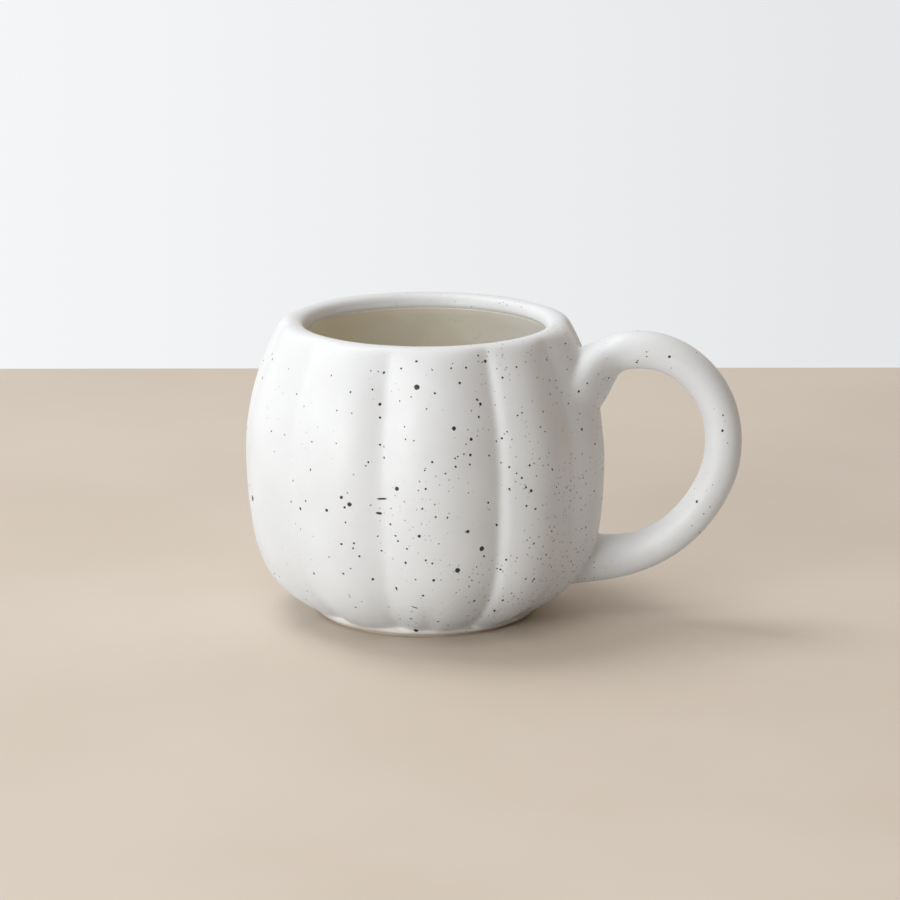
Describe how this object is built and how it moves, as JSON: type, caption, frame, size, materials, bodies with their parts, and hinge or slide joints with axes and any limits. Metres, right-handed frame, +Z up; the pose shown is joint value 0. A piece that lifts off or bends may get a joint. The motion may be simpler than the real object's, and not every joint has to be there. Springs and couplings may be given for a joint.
{
  "type": "ribbed pumpkin mug",
  "caption": "Pumpkin-shaped speckled stoneware mug with soft ribs, a cream lining, a bare foot ring and a loop handle, for hot drinks or autumn table display.",
  "frame": {"origin": "centre of the foot ring on the surface that the mug stands on, on the axis of the cup", "axes": "+Z up along the axis of the cup, +X out through the middle of the handle, +Y to the left of the handle seen from above"},
  "size_m": [0.153, 0.1109, 0.0914],
  "materials": {
    "bare_stoneware": "matte",
    "white_glaze": "satin",
    "cream_glaze": "satin",
    "iron_speck": "satin"
  },
  "bodies": {
    "root": {"cup_body": "bare_stoneware", "handle": "bare_stoneware", "upper_joint_slip": "bare_stoneware", "lower_joint_slip": "bare_stoneware", "outer_glaze": "white_glaze", "liner_glaze": "cream_glaze", "base_glaze": "white_glaze", "iron_specks": "iron_speck"}
  },
  "joints": []
}
